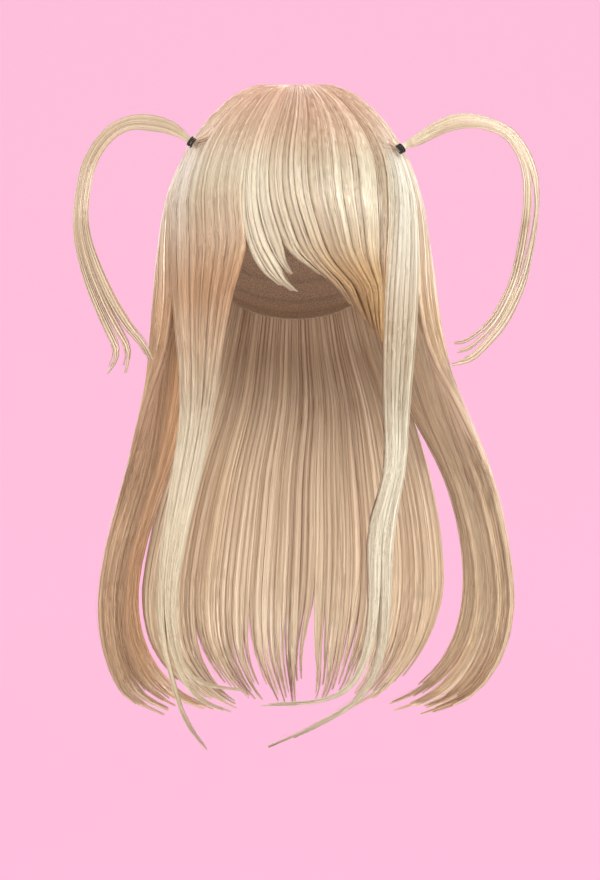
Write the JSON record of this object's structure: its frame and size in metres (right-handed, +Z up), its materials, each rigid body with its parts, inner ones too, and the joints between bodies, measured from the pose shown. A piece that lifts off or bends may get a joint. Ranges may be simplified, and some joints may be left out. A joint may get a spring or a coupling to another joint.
{
  "type": "cosplay wig",
  "caption": "Long straight blonde wig on a hollow cap, with a swept fringe, face-framing front locks, long back hair curling in and thin tied side tails.",
  "frame": {"origin": "the inside of the cap at the crown, where it sits on the head", "axes": "+Z up, the face looks along -Y, +X to the right of someone facing the wearer"},
  "size_m": [0.3588, 0.234, 0.5085],
  "materials": {
    "hair": "smooth synthetic hair fibre in pale blonde, with a silky sheen and warm tan shadows",
    "net": "matt stretch net with wefts, tan",
    "elastic": "black glossy elastic"
  },
  "bodies": {
    "root": {"cap": "net", "fringe": "hair", "side_left": "hair", "side_right": "hair", "back_right": "hair", "back_middle": "hair", "back_left": "hair", "tail_left": "hair", "tail_right": "hair", "band_left": "elastic", "band_right": "elastic"}
  },
  "joints": []
}
